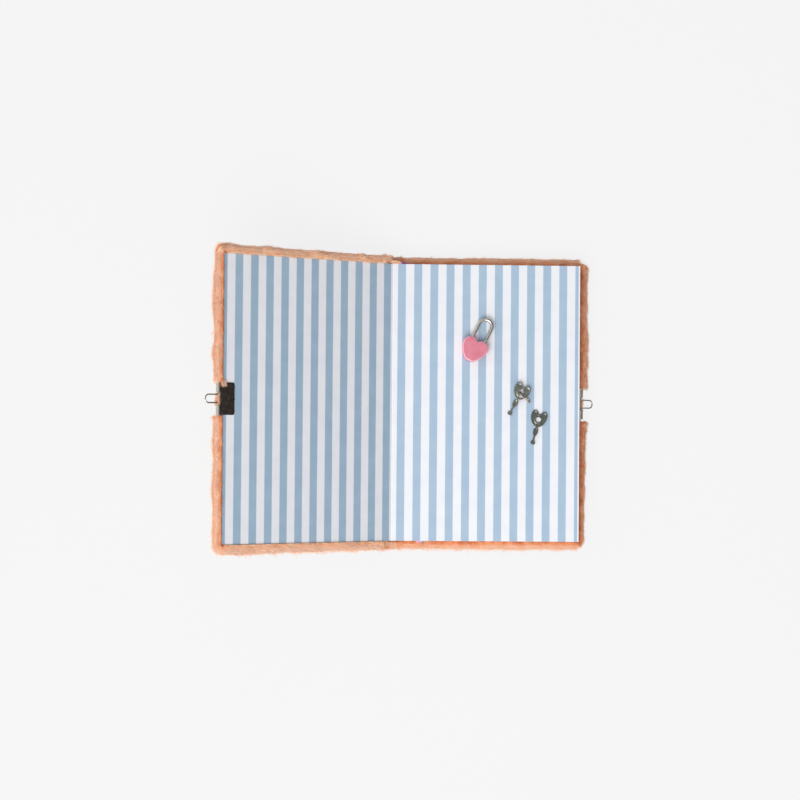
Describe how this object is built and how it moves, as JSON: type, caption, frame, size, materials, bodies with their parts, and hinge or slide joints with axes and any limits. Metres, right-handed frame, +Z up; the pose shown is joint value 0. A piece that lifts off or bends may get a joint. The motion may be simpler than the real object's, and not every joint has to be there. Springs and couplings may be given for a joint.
{
  "type": "diary with lock",
  "caption": "Plush-covered hardback diary lying open, striped endpapers inside, wire clasp loops on the fore edges, and a heart padlock with its flat keys on the open page.",
  "frame": {"origin": "middle of the back cover's flat underside, on the surface the diary rests on", "axes": "+X from the gutter to the fore edge of the back cover, +Y to the head of the pages, +Z up, away from the resting surface"},
  "size_m": [0.2865, 0.2208, 0.0956],
  "materials": {
    "plush": "long soft pile, peach",
    "endpaper": "printed stripes on smooth uncoated paper",
    "leaves": "uncoated writing paper",
    "board": "grey bookbinding board",
    "lining": "open-weave lining cloth",
    "ribbon": "woven satin ribbon with lengthwise stripes",
    "nickel": "polished nickel plate on sheet steel",
    "wire": "polished nickel plate on steel wire",
    "enamel": "glossy pink enamel",
    "key_nickel": "dark tumbled nickel plate",
    "lockwork": "plain zinc-plated steel"
  },
  "bodies": {
    "back_cover": {"back_board": "board", "back_plush": "plush", "back_pastedown": "endpaper", "back_clasp_plate": "nickel"},
    "back_loop": {"back_clasp_loop": "wire"},
    "text_block": {"signature_1": "leaves", "signature_2": "leaves", "signature_3": "leaves", "signature_4": "leaves", "signature_5": "leaves", "signature_6": "leaves", "signature_7": "leaves", "signature_8": "leaves", "back_flyleaf": "endpaper", "spine_lining": "lining", "spine_board": "board", "spine_plush": "plush", "ribbon_marker": "ribbon"},
    "flyleaf": {"front_flyleaf": "endpaper"},
    "front_cover": {"front_board": "board", "front_plush": "plush", "front_pastedown": "endpaper", "front_clasp_plate": "nickel"},
    "front_loop": {"front_clasp_loop": "wire"},
    "padlock": {"padlock_back": "enamel", "padlock_front": "enamel", "padlock_rivets": "lockwork", "shackle_spring": "lockwork"},
    "shackle_lift": {"shackle_follower": "lockwork"},
    "shackle": {"padlock_shackle": "wire"},
    "plug": {"padlock_plug": "lockwork"},
    "latch": {"padlock_latch": "lockwork"},
    "linked_key": {"first_key": "key_nickel"},
    "link": {"key_link": "wire"},
    "single_key": {"second_key": "key_nickel"}
  },
  "joints": [
    {"name": "block_lift", "type": "hinge", "parent": "back_cover", "child": "text_block", "pos_m": [-0.0733, 0, 0.0067], "axis": [0, -1, 0], "range_deg": [0, 30]},
    {"name": "cover_swing", "type": "hinge", "parent": "text_block", "child": "front_cover", "pos_m": [-0.0733, 0, 0.0196], "axis": [0, 1, 0], "range_deg": [-34.5, 141.5]},
    {"name": "flyleaf_lift", "type": "hinge", "parent": "text_block", "child": "flyleaf", "pos_m": [-0.0727, 0, 0.0194], "axis": [0, 1, 0], "range_deg": [-15, 0]},
    {"name": "front_loop_swing", "type": "hinge", "parent": "front_cover", "child": "front_loop", "pos_m": [-0.19812, 0, 0.09011], "axis": [0, 1, 0], "range_deg": [-90, 90]},
    {"name": "back_loop_swing", "type": "hinge", "parent": "back_cover", "child": "back_loop", "pos_m": [0.07005, 0, 0.00535], "axis": [0, -1, 0], "range_deg": [0, 118]},
    {"name": "padlock_slide", "type": "slide", "parent": "flyleaf", "child": "padlock", "axis": [0, 1, 0], "range_m": [0, 0.09]},
    {"name": "shackle_pop", "type": "slide", "parent": "padlock", "child": "shackle_lift", "axis": [0.4415, 0.8973, 0], "range_m": [-0.005, 0], "stiffness_N_per_m": 120, "deforming": ["shackle_spring"]},
    {"name": "shackle_swivel", "type": "hinge", "parent": "shackle_lift", "child": "shackle", "pos_m": [-0.01521, 0.04588, 0.0231], "axis": [-0.4415, -0.8973, 0], "range_deg": [0, 180]},
    {"name": "plug_turn", "type": "hinge", "parent": "padlock", "child": "plug", "pos_m": [-0.01686, 0.0312, 0.0231], "axis": [-0.4415, -0.8973, 0], "range_deg": [-90, 0]},
    {"name": "latch_throw", "type": "slide", "parent": "padlock", "child": "latch", "axis": [0.8973, -0.4415, 0], "range_m": [0, 0.000989]},
    {"name": "linked_key_slide", "type": "slide", "parent": "flyleaf", "child": "linked_key", "axis": [0, 1, 0], "range_m": [0, 0.12]},
    {"name": "link_swing", "type": "hinge", "parent": "linked_key", "child": "link", "pos_m": [0.02272, 0.00793, 0.02035], "axis": [0.7469, -0.6647, -0.0171], "range_deg": [-44, 4]},
    {"name": "single_key_slide", "type": "slide", "parent": "flyleaf", "child": "single_key", "axis": [1, 0, 0], "range_m": [0, 0.055]}
  ],
  "couplings": [
    {"joint": "plug_turn", "follows": "latch_throw", "rad_per_m": -1586.7}
  ]
}
